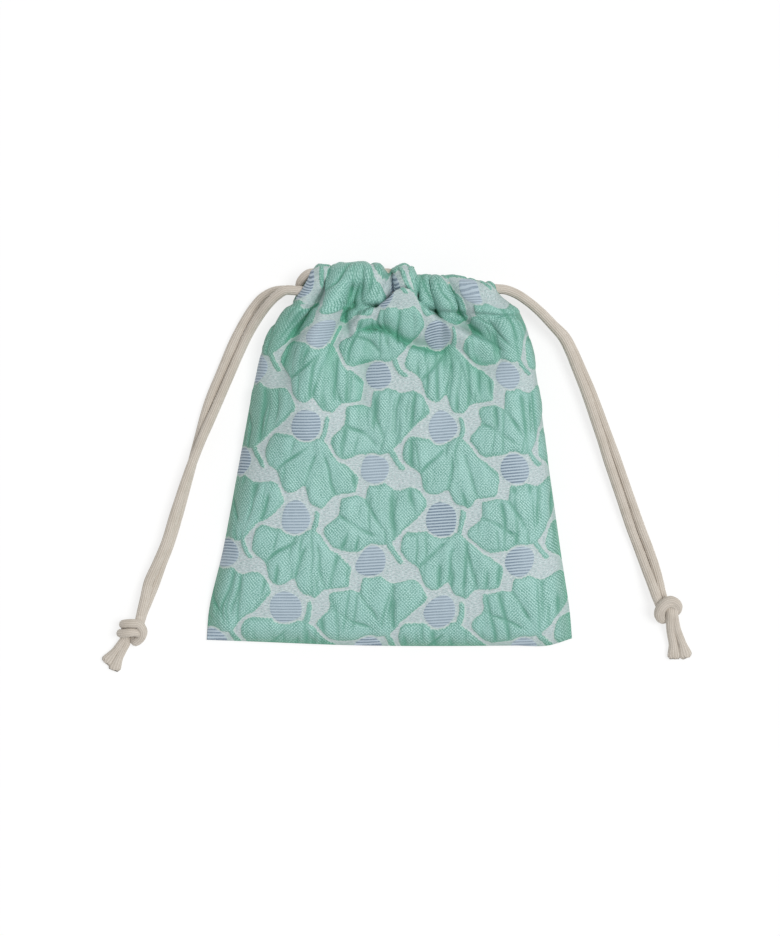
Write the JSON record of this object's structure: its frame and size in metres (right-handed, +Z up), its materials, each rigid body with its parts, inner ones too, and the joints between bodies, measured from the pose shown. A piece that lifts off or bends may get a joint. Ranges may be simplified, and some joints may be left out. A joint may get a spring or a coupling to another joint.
{
  "type": "kinchaku drawstring pouch",
  "caption": "Small drawstring pouch of puffed jacquard cloth lying on its back, with a mouth gathered by knotted cords that run round it in stitched casings.",
  "frame": {"origin": "middle of the lying pouch's footprint, on the surface it lies on", "axes": "+Y along the pouch towards its mouth, +X across it to the right, +Z up from the back panel to the front panel"},
  "size_m": [0.26, 0.1786, 0.0255],
  "materials": {
    "cloth": "puffed mint jacquard with a pale silver ground and lavender centres",
    "cord": "soft ivory cotton cord with fine ribs"
  },
  "bodies": {
    "root": {"front_panel": "cloth", "back_panel": "cloth", "front_casing": "cloth", "back_casing": "cloth", "left_cord_casing_run": "cord", "left_cord_front_strand": "cord", "left_cord_back_strand": "cord", "left_cord_knot": "cord", "left_cord_front_tail": "cord", "left_cord_back_tail": "cord", "right_cord_casing_run": "cord", "right_cord_front_strand": "cord", "right_cord_back_strand": "cord", "right_cord_knot": "cord", "right_cord_front_tail": "cord", "right_cord_back_tail": "cord"}
  },
  "joints": []
}
